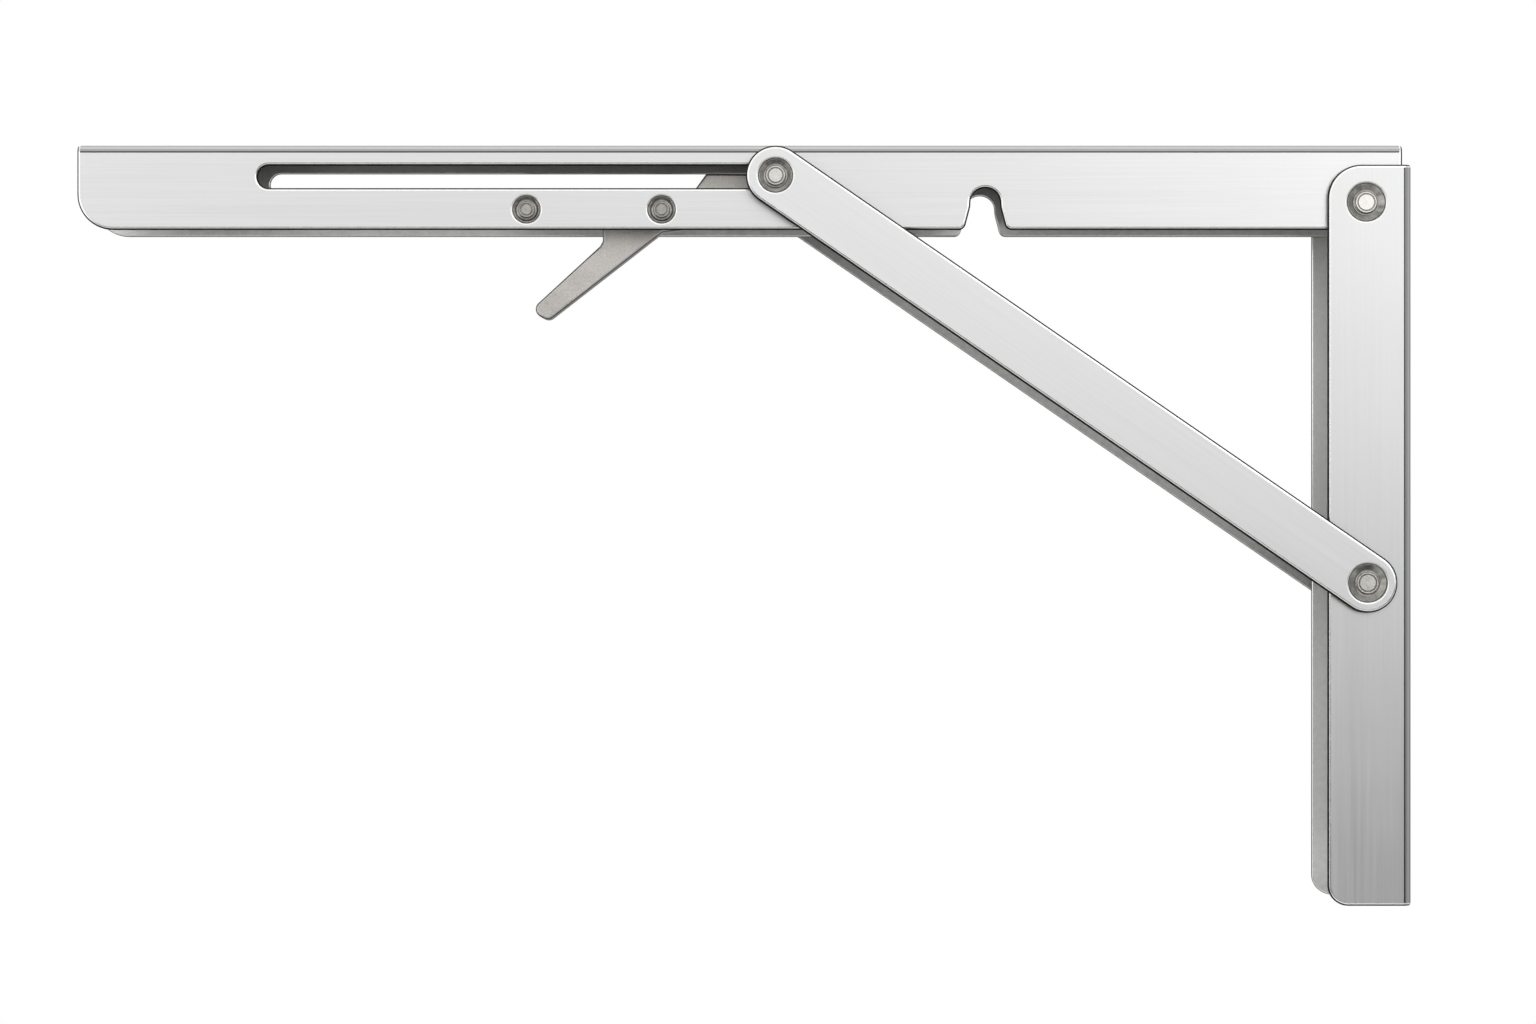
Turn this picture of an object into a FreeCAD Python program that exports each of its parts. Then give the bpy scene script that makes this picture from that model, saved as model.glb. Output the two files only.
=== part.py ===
"""Folding drop leaf table bracket, open and locked, in millimetres.

A wall channel carries a table arm on a hinge pin. Two flat strut bars run from a foot pin
in the wall channel to a slide pin in the arm's long slots. A latch lever inside the arm
keeps the slide pin at the slots' end, and a small spring holds the lever up.

+X points into the wall, +Z up, and the arm reaches out along -X. The origin lies on the
wall face, midway between the wall screws.
"""
import FreeCAD
import Part
import math
import os
import re
import Sketcher

V = FreeCAD.Vector

# Driving sizes. Widths run along Y, "reach" is measured from the hinge along the arm.
SIZES = {
    "sheet": 1.5,
    "bend_outer": 1.7,
    "bend_inner": 0.3,
    "side_gap": 0.3,
    "running_gap": 0.1,
    "arm_width": 24.0,
    "arm_reach": 291.6,
    "arm_tail": 8.4,
    "arm_above_hinge": 13.1,
    "arm_below_hinge": 6.1,
    "arm_corner": 8.0,
    "wall_depth": 18.9,
    "wall_above_hinge": 8.5,
    "wall_below_hinge": 159.0,
    "wall_ear_corner": 7.6,
    "wall_foot_corner": 4.6,
    "hinge_off_wall": 10.2,
    "foot_drop": 86.0,
    "slide_reach": 133.5,
    "slot_rise": 5.9,
    "slide_pin_radius": 2.3,
    "slot_clearance": 0.25,
    "slot_end_room": 0.5,
    "bar_half_width": 6.7,
    "bar_thickness": 2.0,
    "edge_round": 0.35,
    "notch_lip": 1.6,
    "notch_flare": 1.4,
    "screw_radius": 2.5,
    "wall_screw_top": 20.0,
    "wall_screw_step": 128.0,
    "wall_screw_inner_step": 52.0,
    "arm_screw_first": 22.0,
    "arm_screw_last": 13.6,
    "arm_screw_inner": 70.0,
    "recess_depth": 1.0,
    "hinge_recess": 4.45,
    "slide_recess": 4.1,
    "foot_recess": 4.5,
    "latch_recess": 3.25,
    "head_play": 0.2,
    "head_edge": 0.2,
    "head_rise": 0.55,
    "head_ring": 0.75,
    "ring_width": 0.55,
    "hinge_pin_radius": 2.5,
    "foot_pin_radius": 2.2,
    "latch_pin_radius": 1.6,
    "sleeve_wall": 0.8,
    "washer_radius": 5.0,
    "latch_back": 25.8,
    "anchor_back": 30.6,
    "latch_drop": 1.5,
    "lever_thickness": 6.0,
    "lever_pin_gap": 0.4,
    "nose_top": 8.9,
    "nose_slope_start": 7.0,
    "nose_slope_end": 10.0,
    "nose_root": 4.6,
    "lever_top": 3.2,
    "lever_back": 13.7,
    "lever_step": 7.0,
    "lever_shoulder": 8.4,
    "handle_reach": 28.4,
    "handle_drop": 22.9,
    "handle_tip": 1.9,
    "lever_edge": 0.4,
    "lug_length": 4.6,
    "lug_height": 2.6,
    "lug_thickness": 2.0,
    "lug_hole": 1.1,
    "lug_rise": 0.4,
    "wire": 0.7,
    "coil_radius": 1.7,
    "coil_room": 0.6,
    "coil_pitch": 0.8,
}


def derived(size):
    """Sizes that follow from the driving ones."""
    arm_half = size["arm_width"] / 2
    wall_half = arm_half + size["side_gap"] + size["sheet"]
    bar_inside = wall_half + size["side_gap"]
    rise = size["foot_drop"] + size["slot_rise"]
    centres = math.hypot(size["slide_reach"], rise)
    folded_reach = size["foot_drop"] + math.sqrt(centres ** 2 - size["slot_rise"] ** 2)
    sleeve = size["foot_pin_radius"] + size["running_gap"] / 2 + size["sleeve_wall"]
    latch_reach = size["slide_reach"] + size["latch_back"]
    screw_step = size["arm_reach"] - size["arm_screw_first"] - size["arm_screw_last"]
    return {
        "hinge_height": size["wall_screw_top"] + size["wall_screw_step"] / 2,
        "arm_half": arm_half,
        "arm_inside": arm_half - size["sheet"],
        "wall_half": wall_half,
        "wall_inside": wall_half - size["sheet"],
        "bar_inside": bar_inside,
        "bar_outside": bar_inside + size["bar_thickness"],
        "bar_centres": centres,
        "bar_tilt": math.degrees(math.atan2(rise, size["slide_reach"])),
        "folded_reach": folded_reach,
        "slot_radius": size["slide_pin_radius"] + size["slot_clearance"],
        "slot_length": folded_reach - size["slide_reach"] + size["slot_end_room"],
        "foot_sleeve": sleeve,
        "notch_radius": sleeve + size["side_gap"],
        "hinge_sleeve": size["hinge_pin_radius"] + size["running_gap"] / 2 + size["sleeve_wall"],
        "latch_sleeve": size["latch_pin_radius"] + size["running_gap"] / 2 + size["sleeve_wall"],
        "lever_half": size["lever_thickness"] / 2,
        "lever_boss": size["latch_pin_radius"] + size["running_gap"] + 2.4,
        "latch_reach": latch_reach,
        "anchor_reach": latch_reach + size["anchor_back"],
        "nose_reach": size["latch_back"] - size["slide_pin_radius"] - size["lever_pin_gap"],
        "pin_inner": size["lever_thickness"] / 2 + size["side_gap"],
        "arm_screw_step": screw_step,
        "arm_screw_inner_step": screw_step - 2 * size["arm_screw_inner"],
    }


SIZE = dict(SIZES)
SIZE.update(derived(SIZES))

doc = FreeCAD.newDocument("DropLeafBracket")
sheet = doc.addObject("Spreadsheet::Sheet", "dims")
for line, (alias, value) in enumerate(SIZE.items(), start=1):
    sheet.set("A%d" % line, alias)
    sheet.set("B%d" % line, repr(round(value, 6)))
    sheet.setAlias("B%d" % line, alias)
doc.recompute()

TERM = re.compile(r"([+-]?)\s*(?:([\d.]+)\s*\*\s*)?([a-z_]+|[\d.]+)(?:\s*/\s*([\d.]+))?")
PARTS = []


def amount(words):
    """Number given by a sum of size names, such as 'arm_half - 2 * sheet'."""
    total = 0.0
    for sign, factor, name, divisor in TERM.findall(words):
        value = SIZE[name] if name in SIZE else float(name)
        value *= float(factor or 1) / float(divisor or 1)
        total += -value if sign == "-" else value
    return total


def bound(words):
    """The same sum as an expression on the spreadsheet."""
    return re.sub(r"[a-z_]+", lambda found: "dims." + found.group(0), words)


def new_body(label):
    body = doc.addObject("PartDesign::Body", label)
    body.Label = label
    PARTS.append(body)
    return body


def plane_of(body, role):
    return [item for item in body.Origin.OriginFeatures if item.Role == role][0]


def new_sketch(body, name, role, offset=None):
    sketch = body.newObject("Sketcher::SketchObject", name)
    sketch.AttachmentSupport = [(plane_of(body, role), "")]
    sketch.MapMode = "FlatFace"
    if offset:
        sketch.AttachmentOffset = FreeCAD.Placement(V(0, 0, amount(offset)), FreeCAD.Rotation())
        sketch.setExpression("AttachmentOffset.Base.z", bound(offset))
    doc.recompute()
    return sketch


def fix(sketch, axis, geometry, point, words):
    """Hold one coordinate of a point at a sum of named sizes."""
    if words == "0":
        line = -2 if axis == "DistanceX" else -1
        sketch.addConstraint(Sketcher.Constraint("PointOnObject", geometry, point, line))
        return
    index = sketch.addConstraint(
        Sketcher.Constraint(axis, -1, 1, geometry, point, amount(words)))
    sketch.setExpression("Constraints[%d]" % index, bound(words))


def polygon(sketch, corners):
    """Closed outline whose corners are pairs of named sums."""
    spots = [V(amount(across), amount(up), 0) for across, up in corners]
    first = len(sketch.Geometry)
    count = len(spots)
    for index in range(count):
        sketch.addGeometry(Part.LineSegment(spots[index], spots[(index + 1) % count]))
    for index in range(count):
        following = first + (index + 1) % count
        sketch.addConstraint(
            Sketcher.Constraint("Coincident", first + index, 2, following, 1))
    for index, (across, up) in enumerate(corners):
        fix(sketch, "DistanceX", first + index, 1, across)
        fix(sketch, "DistanceY", first + index, 1, up)


def circle(sketch, across, up, radius):
    """Hole outline at a named place."""
    centre = V(amount(across), amount(up), 0)
    index = sketch.addGeometry(Part.Circle(centre, V(0, 0, 1), amount(radius)))
    fix(sketch, "DistanceX", index, 3, across)
    fix(sketch, "DistanceY", index, 3, up)
    held = sketch.addConstraint(Sketcher.Constraint("Radius", index, amount(radius)))
    sketch.setExpression("Constraints[%d]" % held, bound(radius))


def stadium(sketch, across, up, length, radius):
    """Straight slot or bar outline: two half rounds, the second 'length' further along X."""
    left = amount(across)
    level = amount(up)
    half = amount(radius)
    right = left + amount(length)
    up_axis = V(0, 0, 1)
    start = Part.ArcOfCircle(Part.Circle(V(left, level, 0), up_axis, half),
                             math.pi / 2, 1.5 * math.pi)
    end = Part.ArcOfCircle(Part.Circle(V(right, level, 0), up_axis, half),
                           -math.pi / 2, math.pi / 2)
    one = sketch.addGeometry(start)
    low = sketch.addGeometry(Part.LineSegment(V(left, level - half, 0), V(right, level - half, 0)))
    two = sketch.addGeometry(end)
    top = sketch.addGeometry(Part.LineSegment(V(right, level + half, 0), V(left, level + half, 0)))
    sketch.addConstraint(Sketcher.Constraint("Tangent", one, 2, low, 1))
    sketch.addConstraint(Sketcher.Constraint("Tangent", low, 2, two, 1))
    sketch.addConstraint(Sketcher.Constraint("Tangent", two, 2, top, 1))
    sketch.addConstraint(Sketcher.Constraint("Tangent", top, 2, one, 1))
    sketch.addConstraint(Sketcher.Constraint("Horizontal", low))
    fix(sketch, "DistanceX", one, 3, across)
    fix(sketch, "DistanceY", one, 3, up)
    reach = sketch.addConstraint(
        Sketcher.Constraint("DistanceX", one, 3, two, 3, amount(length)))
    sketch.setExpression("Constraints[%d]" % reach, bound(length))
    held = sketch.addConstraint(Sketcher.Constraint("Radius", one, half))
    sketch.setExpression("Constraints[%d]" % held, bound(radius))


def pad(body, sketch, length, midplane=True):
    feature = body.newObject("PartDesign::Pad", sketch.Name + "_pad")
    feature.Profile = sketch
    feature.setExpression("Length", bound(length))
    feature.Midplane = midplane
    body.Tip = feature
    doc.recompute()
    return feature


def pocket(body, sketch, length, midplane=True, turned_over=False):
    """Cut a sketch out of a body, and make sure that it did cut."""
    before = body.Shape.Volume
    feature = body.newObject("PartDesign::Pocket", sketch.Name + "_pocket")
    feature.Profile = sketch
    feature.setExpression("Length", bound(length))
    feature.Midplane = midplane
    feature.Reversed = turned_over
    body.Tip = feature
    doc.recompute()
    if body.Shape.Volume >= before:
        raise RuntimeError("the pocket %s cuts nothing" % feature.Name)
    return feature


def mirror(body, features, role):
    """Repeat features on the other side of one of the body's planes."""
    copy = body.newObject("PartDesign::Mirrored", features[0].Name + "_mirrored")
    copy.Originals = features
    copy.MirrorPlane = (plane_of(body, role), [""])
    body.Tip = copy
    doc.recompute()
    return copy


def straight_edges(shape, direction, spots):
    """Names of the straight edges along a direction whose middles pass the given points."""
    names = []
    for index, edge in enumerate(shape.Edges, start=1):
        if edge.Curve.TypeId != "Part::GeomLine":
            continue
        way = edge.Vertexes[-1].Point.sub(edge.Vertexes[0].Point).normalize()
        if abs(abs(way.dot(direction)) - 1) > 1e-6:
            continue
        middle = edge.CenterOfMass
        for spot in spots:
            offset = middle.sub(spot)
            across = offset.sub(direction * offset.dot(direction))
            if across.Length < 0.01:
                names.append("Edge%d" % index)
                break
    return names


def fillet(body, names, radius):
    """Round the named edges of a body's last feature."""
    base = body.Tip
    feature = body.newObject("PartDesign::Fillet", base.Name + "_fillet")
    feature.Base = (base, names)
    feature.setExpression("Radius", bound(radius))
    body.Tip = feature
    doc.recompute()
    return feature


def turned(label, outline):
    """A part turned about Y, from a half outline of (radius, along) pairs."""
    body = new_body(label)
    sketch = new_sketch(body, label + "_outline", "XY_Plane")
    polygon(sketch, outline)
    feature = body.newObject("PartDesign::Revolution", label + "_turned")
    feature.Profile = sketch
    feature.ReferenceAxis = (sketch, ["V_Axis"])
    feature.Angle = 360
    body.Tip = feature
    doc.recompute()
    return body


def minus(words):
    """The same sum with every sign turned round."""
    if words == "0":
        return words
    swapped = words.replace(" + ", " less ").replace(" - ", " + ").replace(" less ", " - ")
    return swapped[2:] if words.startswith("- ") else "- " + swapped


def rivet_end(recess, floor):
    """Half outline of a headed end that sits in a recess: a cone, a raised ring, a flat centre.

    floor is the distance of the recess's floor from the middle.
    """
    rim = recess + " - head_play"
    ring = recess + " / 2 + head_edge"
    bore = ring + " - ring_width"
    return [
        (rim, floor),
        (rim, floor + " + head_edge"),
        (ring, floor + " + head_rise"),
        (ring, floor + " + head_ring"),
        (bore, floor + " + head_ring"),
        (bore, floor + " + head_rise"),
        ("0", floor + " + head_rise"),
    ]


def other_end(outline):
    """The same half outline on the other side of the middle, in walking order."""
    return [(radius, minus(along)) for radius, along in reversed(outline)]


def rivet(label, shank, recess, floor):
    """A rivet through both flanges: a shank with a formed head in the recess at each end."""
    far = rivet_end(recess, floor)
    return turned(label, [(shank, minus(floor)), (shank, floor)] + far + other_end(far))


def tube(label, inner, outer, start, end):
    """A sleeve or washer along Y between two levels."""
    return turned(label, [(inner, start), (outer, start), (outer, end), (inner, end)])


def channel(body, long_axis, half, deep, start, end, back):
    """U-shaped sheet channel, its web outside and its flanges towards the open side.

    long_axis is the direction that it runs in, back the web's outer face and deep the flanges'
    free edge, both as named sums along the other axis.
    """
    role = "YZ_Plane" if long_axis == "X" else "XY_Plane"
    sketch = new_sketch(body, body.Name + "_section", role)
    if long_axis == "X":
        corners = [("- " + half, deep), ("- " + half, back), (half, back), (half, deep),
                   (half + " - sheet", deep), (half + " - sheet", back + " - sheet"),
                   ("- " + half + " + sheet", back + " - sheet"), ("- " + half + " + sheet", deep)]
    else:
        corners = [(deep, "- " + half), (back, "- " + half), (back, half), (deep, half),
                   (deep, half + " - sheet"), (back + " - sheet", half + " - sheet"),
                   (back + " - sheet", "- " + half + " + sheet"), (deep, "- " + half + " + sheet")]
    polygon(sketch, corners)
    feature = body.newObject("PartDesign::Pad", body.Name + "_length")
    feature.Profile = sketch
    feature.SideType = "Two sides"
    feature.setExpression("Length", bound(end))
    feature.setExpression("Length2", bound(start))
    body.Tip = feature
    doc.recompute()
    outer = amount(half)
    inner = outer - SIZE["sheet"]
    top = amount(back)
    under = top - SIZE["sheet"]
    way = V(1, 0, 0) if long_axis == "X" else V(0, 0, 1)

    def corner(side, level):
        return V(0, side, level) if long_axis == "X" else V(level, side, 0)

    names = straight_edges(body.Shape, way, [corner(outer, top), corner(-outer, top)])
    fillet(body, names, "bend_outer")
    names = straight_edges(body.Shape, way, [corner(inner, under), corner(-inner, under)])
    fillet(body, names, "bend_inner")


def recess(body, name, across, up, radius, face):
    """Round recess for a rivet head in both outer faces of the flanges."""
    sketch = new_sketch(body, name, "XZ_Plane", face + " - recess_depth")
    circle(sketch, across, up, radius)
    cut = pocket(body, sketch, "recess_depth + side_gap", False, True)
    mirror(body, [cut], "XZ_Plane")


def build_wall_channel():
    """Wall channel about the hinge axis: web on the wall, an ear at the hinge."""
    body = new_body("wall_channel")
    channel(body, "Z", "wall_half", "hinge_off_wall - wall_depth",
            "wall_below_hinge", "wall_above_hinge", "hinge_off_wall")
    across = V(0, 1, 0)
    edge_x = SIZE["hinge_off_wall"] - SIZE["wall_depth"]
    ear = straight_edges(body.Shape, across, [V(edge_x, 0, SIZE["wall_above_hinge"])])
    fillet(body, ear, "wall_ear_corner")
    foot = straight_edges(body.Shape, across, [V(edge_x, 0, -SIZE["wall_below_hinge"])])
    fillet(body, foot, "wall_foot_corner")

    bores = new_sketch(body, "wall_bores", "XZ_Plane")
    circle(bores, "0", "0", "hinge_pin_radius + running_gap / 2")
    circle(bores, "0", "- foot_drop", "foot_pin_radius + running_gap / 2")
    pocket(body, bores, "2 * wall_half + 2 * sheet")
    recess(body, "wall_hinge_recess", "0", "0", "hinge_recess", "wall_half")

    screws = new_sketch(body, "wall_screws", "YZ_Plane", "hinge_off_wall")
    first = "- wall_screw_top"
    inner = " - wall_screw_step / 2 + wall_screw_inner_step / 2"
    for level in (first, first + " - wall_screw_step", first + inner,
                  first + inner + " - wall_screw_inner_step"):
        circle(screws, "0", level, "screw_radius")
    pocket(body, screws, "2 * sheet + side_gap")
    body.Placement.Base = V(-SIZE["hinge_off_wall"], 0, SIZE["hinge_height"])


def build_arm_channel():
    """Table arm about the hinge axis: web up, long slots, a notch and screw holes."""
    body = new_body("arm_channel")
    channel(body, "X", "arm_half", "- arm_below_hinge", "arm_reach", "arm_tail",
            "arm_above_hinge")
    across = V(0, 1, 0)
    end = straight_edges(body.Shape, across,
                         [V(-SIZE["arm_reach"], 0, -SIZE["arm_below_hinge"])])
    fillet(body, end, "arm_corner")
    # The tail's lower corners turn about the hinge, so that they clear the upright's web.
    tail = straight_edges(body.Shape, across,
                          [V(SIZE["arm_tail"], 0, -SIZE["arm_below_hinge"])])
    fillet(body, tail, "arm_below_hinge")

    slots = new_sketch(body, "arm_slots", "XZ_Plane")
    stadium(slots, "- folded_reach - slot_end_room / 2", "slot_rise", "slot_length",
            "slot_radius")
    pocket(body, slots, "2 * arm_width")

    bores = new_sketch(body, "arm_bores", "XZ_Plane")
    circle(bores, "0", "0", "hinge_sleeve + running_gap / 2")
    circle(bores, "- latch_reach", "- latch_drop", "latch_pin_radius")
    circle(bores, "- anchor_reach", "- latch_drop", "latch_pin_radius")
    pocket(body, bores, "2 * arm_width")

    notch = new_sketch(body, "arm_notch", "XZ_Plane")
    outline_notch(notch)
    pocket(body, notch, "2 * arm_width")
    flare = SIZE["notch_radius"] + SIZE["notch_flare"]
    edge_z = -SIZE["arm_below_hinge"]
    lips = straight_edges(body.Shape, across,
                          [V(-SIZE["foot_drop"] - flare, 0, edge_z),
                           V(-SIZE["foot_drop"] + flare, 0, edge_z)])
    fillet(body, lips, "notch_lip")

    recess(body, "arm_latch_recess", "- latch_reach", "- latch_drop", "latch_recess", "arm_half")
    recess(body, "arm_anchor_recess", "- anchor_reach", "- latch_drop", "latch_recess", "arm_half")

    screws = new_sketch(body, "arm_screws", "XY_Plane", "arm_above_hinge")
    first = "- arm_screw_first"
    inner = " - arm_screw_step / 2 + arm_screw_inner_step / 2"
    for place in (first, first + " - arm_screw_step", first + inner,
                  first + inner + " - arm_screw_inner_step"):
        circle(screws, place, "0", "screw_radius")
    pocket(body, screws, "2 * sheet + side_gap")
    body.Placement.Base = V(-SIZE["hinge_off_wall"], 0, SIZE["hinge_height"])


def outline_notch(sketch):
    """Arch round the foot sleeve's folded place, flaring to the flange's free edge."""
    centre = V(-SIZE["foot_drop"], 0, 0)
    radius = SIZE["notch_radius"]
    flare = radius + SIZE["notch_flare"]
    low = -SIZE["arm_below_hinge"]
    arch = sketch.addGeometry(
        Part.ArcOfCircle(Part.Circle(centre, V(0, 0, 1), radius), 0, math.pi))
    left = sketch.addGeometry(Part.LineSegment(centre + V(-radius, 0, 0), centre + V(-flare, low, 0)))
    under = sketch.addGeometry(
        Part.LineSegment(centre + V(-flare, low, 0), centre + V(flare, low, 0)))
    right = sketch.addGeometry(Part.LineSegment(centre + V(flare, low, 0), centre + V(radius, 0, 0)))
    sketch.addConstraint(Sketcher.Constraint("Tangent", arch, 2, left, 1))
    sketch.addConstraint(Sketcher.Constraint("Coincident", left, 2, under, 1))
    sketch.addConstraint(Sketcher.Constraint("Coincident", under, 2, right, 1))
    sketch.addConstraint(Sketcher.Constraint("Tangent", right, 2, arch, 1))
    fix(sketch, "DistanceX", arch, 3, "- foot_drop")
    fix(sketch, "DistanceY", arch, 3, "0")
    held = sketch.addConstraint(Sketcher.Constraint("Radius", arch, radius))
    sketch.setExpression("Constraints[%d]" % held, bound("notch_radius"))
    fix(sketch, "DistanceX", under, 1, "- foot_drop - notch_radius - notch_flare")
    fix(sketch, "DistanceY", under, 1, "- arm_below_hinge")
    fix(sketch, "DistanceX", under, 2, "- foot_drop + notch_radius + notch_flare")
    fix(sketch, "DistanceY", under, 2, "- arm_below_hinge")


def build_bar(label, side):
    """Flat strut bar from the slide pin down to the foot pin, outside both channels."""
    body = new_body(label)
    flat = new_sketch(body, label + "_flat", "XZ_Plane")
    stadium(flat, "0", "0", "bar_centres", "bar_half_width")
    pad(body, flat, "bar_thickness")
    rims = [name for name in outline_edges(body.Shape, side * SIZE["bar_thickness"] / 2)]
    fillet(body, rims, "edge_round")
    holes = new_sketch(body, label + "_holes", "XZ_Plane")
    circle(holes, "0", "0", "slide_pin_radius")
    circle(holes, "bar_centres", "0", "foot_pin_radius + running_gap")
    pocket(body, holes, "2 * bar_thickness")
    sunk = new_sketch(body, label + "_recesses", "XZ_Plane",
                      "bar_thickness / 2 - recess_depth" if side < 0
                      else "- bar_thickness / 2 + recess_depth")
    circle(sunk, "0", "0", "slide_recess")
    circle(sunk, "bar_centres", "0", "foot_recess")
    pocket(body, sunk, "recess_depth + side_gap", False, side < 0)
    tilt = FreeCAD.Rotation(V(0, 1, 0), SIZE["bar_tilt"])
    middle = side * (SIZE["bar_inside"] + SIZE["bar_thickness"] / 2)
    body.Placement = FreeCAD.Placement(slide_place(middle), tilt)


def outline_edges(shape, level):
    """Names of the edges that lie in the plane Y = level."""
    names = []
    for index, edge in enumerate(shape.Edges, start=1):
        box = edge.BoundBox
        if abs(box.YMin - level) < 1e-4 and abs(box.YMax - level) < 1e-4:
            names.append("Edge%d" % index)
    return names


def hinge_place(along=0.0):
    return V(-SIZE["hinge_off_wall"], along, SIZE["hinge_height"])


def foot_place(along=0.0):
    return hinge_place(along) - V(0, 0, SIZE["foot_drop"])


def slide_place(along=0.0):
    return hinge_place(along) + V(-SIZE["slide_reach"], 0, SIZE["slot_rise"])


def arm_place(reach, along=0.0):
    return hinge_place(along) + V(-reach, 0, -SIZE["latch_drop"])


def build_pins():
    """Hinge, foot, latch and anchor rivets with their sleeves."""
    pin = rivet("hinge_pin", "hinge_pin_radius", "hinge_recess", "wall_half - recess_depth")
    pin.Placement.Base = hinge_place()
    sleeve = tube("hinge_sleeve", "hinge_pin_radius + running_gap / 2", "hinge_sleeve",
                  "- wall_inside", "wall_inside")
    sleeve.Placement.Base = hinge_place()
    pin = rivet("foot_pin", "foot_pin_radius", "foot_recess", "bar_outside - recess_depth")
    pin.Placement.Base = foot_place()
    sleeve = tube("foot_sleeve", "foot_pin_radius + running_gap / 2", "foot_sleeve",
                  "- wall_inside", "wall_inside")
    sleeve.Placement.Base = foot_place()
    for name, reach in (("latch_pivot", "latch_reach"), ("spring_anchor", "anchor_reach")):
        pin = rivet(name, "latch_pin_radius", "latch_recess", "arm_half - recess_depth")
        pin.Placement.Base = arm_place(SIZE[reach])
    for name, reach, inner_end in (("latch_bush", "latch_reach", "lever_half + side_gap"),
                                   ("anchor_bush", "anchor_reach", "wire + running_gap")):
        for ending, start, end in (("front", "- arm_inside", minus(inner_end)),
                                   ("rear", inner_end, "arm_inside")):
            bush = tube(name + "_" + ending, "latch_pin_radius + running_gap / 2",
                        "latch_sleeve", start, end)
            bush.Placement.Base = arm_place(SIZE[reach])


def build_slide_pins():
    """Slide pin halves with shoulder washers, and the rivet heads that hold the bars on them."""
    pin_end = "bar_inside - side_gap / 2"
    pin = [("0", "pin_inner"), ("slide_pin_radius", "pin_inner"),
           ("slide_pin_radius", pin_end), ("0", pin_end)]
    washer_start = "arm_half + side_gap / 2"
    washer = [("slide_pin_radius", washer_start), ("washer_radius", washer_start),
              ("washer_radius", pin_end), ("slide_pin_radius", pin_end)]
    floor = "bar_outside - recess_depth"
    head = [("0", "bar_inside"), ("slide_pin_radius", "bar_inside"),
            ("slide_pin_radius", floor)] + rivet_end("slide_recess", floor)
    for name, outline in (("slide_pin", pin), ("slide_washer", washer), ("slide_rivet", head)):
        for ending, shape in (("front", other_end(outline)), ("rear", outline)):
            piece = turned(name + "_" + ending, shape)
            piece.Placement.Base = slide_place()


def build_lever():
    """Cast latch lever about its pivot: nose in the slots, handle below, a lug for the spring."""
    body = new_body("latch_lever")
    outline = new_sketch(body, "lever_outline", "XZ_Plane")
    polygon(outline, [
        ("nose_slope_start", "nose_root + running_gap"),
        ("nose_slope_end", "nose_top"),
        ("nose_reach", "nose_top"),
        ("nose_reach", "nose_root"),
        ("nose_slope_end + lever_top", "lever_half - lever_top"),
        ("lever_boss", "- lever_boss"),
        ("0", "- lever_boss - lever_edge"),
        ("- handle_reach + handle_tip + lever_edge", "- handle_drop - handle_tip"),
        ("- handle_reach - handle_tip", "- handle_drop + handle_tip / 2"),
        ("- lever_back - lever_edge", "- lever_shoulder"),
        ("- lever_back", "- lever_step"),
        ("- lever_back", "lever_top"),
        ("nose_slope_start - lever_top", "lever_top"),
    ])
    pad(body, outline, "lever_thickness")
    across = V(0, 1, 0)

    def at(right, up):
        return V(amount(right), 0, amount(up))

    tips = straight_edges(body.Shape, across, [
        at("- handle_reach + handle_tip + lever_edge", "- handle_drop - handle_tip"),
        at("- handle_reach - handle_tip", "- handle_drop + handle_tip / 2")])
    fillet(body, tips, "handle_tip")
    lug = new_sketch(body, "lever_lug", "XZ_Plane")
    polygon(lug, [
        ("- lever_back + lug_thickness", "lug_rise - lug_height / 2"),
        ("- lever_back + lug_thickness", "lug_rise + lug_height"),
        ("- lever_back - lug_length", "lug_rise + lug_height"),
        ("- lever_back - lug_length", "lug_rise - lug_height / 2"),
    ])
    pad(body, lug, "lug_thickness")
    holes = new_sketch(body, "lever_holes", "XZ_Plane")
    circle(holes, "0", "0", "latch_pin_radius + running_gap / 2")
    circle(holes, "- lever_back - lug_length / 2", "lug_rise + lug_height / 4", "lug_hole")
    pocket(body, holes, "2 * lever_thickness")
    body.Placement.Base = arm_place(SIZE["latch_reach"])


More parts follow.
